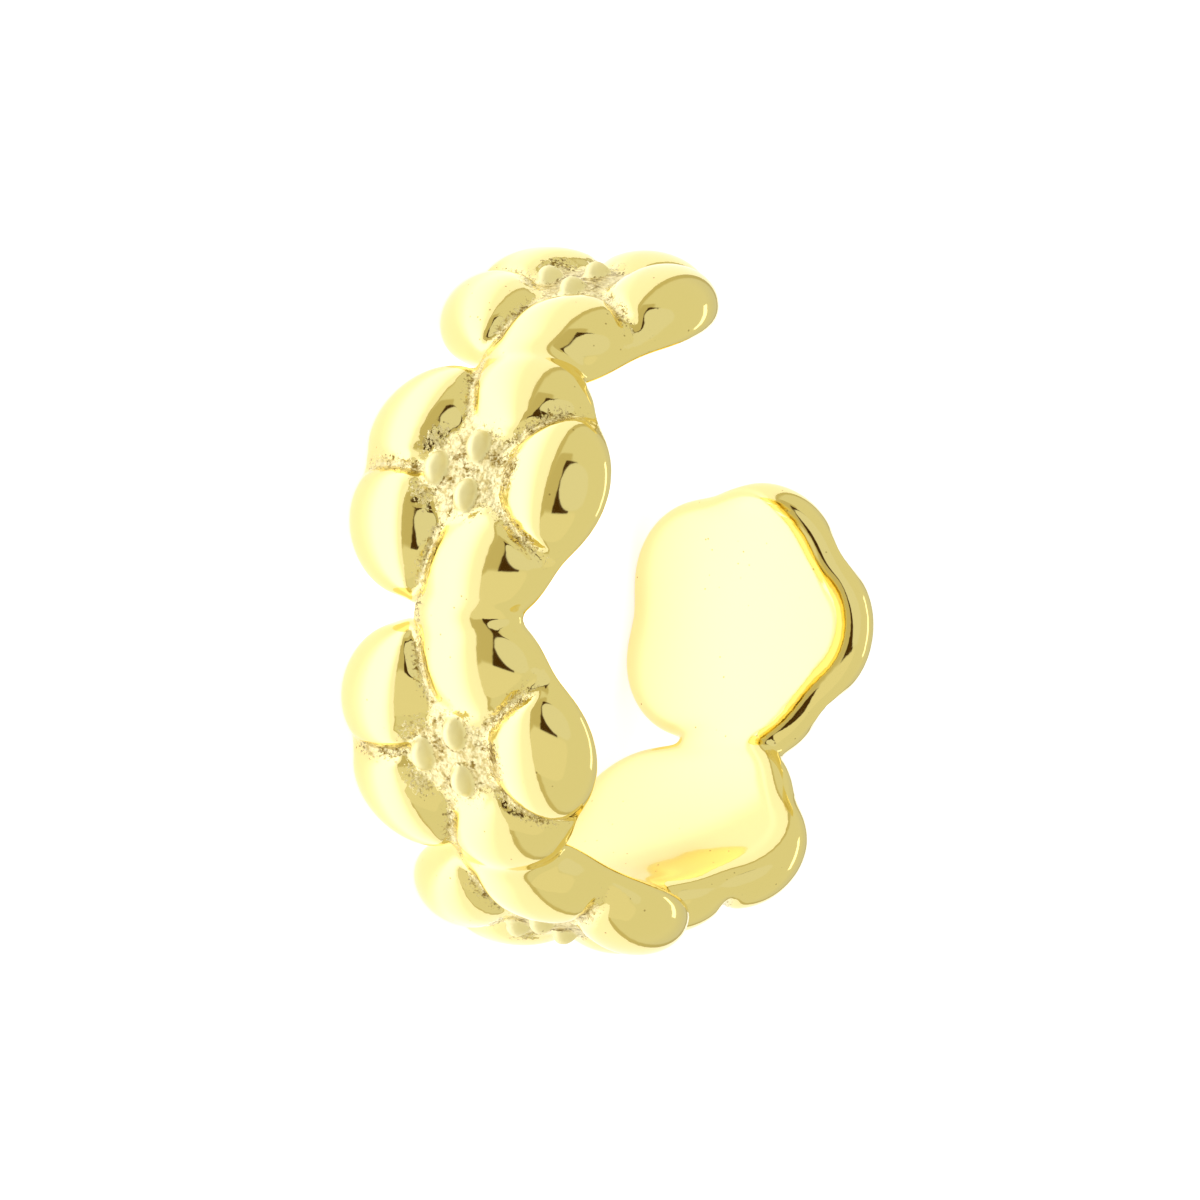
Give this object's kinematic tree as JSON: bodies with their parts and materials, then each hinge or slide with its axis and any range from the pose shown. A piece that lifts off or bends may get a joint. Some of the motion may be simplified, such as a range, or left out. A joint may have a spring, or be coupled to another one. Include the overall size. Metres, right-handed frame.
{
  "type": "ear cuff",
  "caption": "Open ear cuff cast in one piece: a row of domed five-petalled flowers round a smooth inner face.",
  "frame": {"origin": "on the ring's axis, in the plane that the lowest petals rest on", "axes": "+Z along the ring's axis, with the cuff lying on its side; +Y out through the opening"},
  "size_m": [0.0124, 0.0111, 0.0047],
  "materials": {
    "polished_gold_plate": "polished gold plate, matt and grainy in the creases"
  },
  "bodies": {
    "root": {"flower_cuff": "polished_gold_plate"}
  },
  "joints": []
}
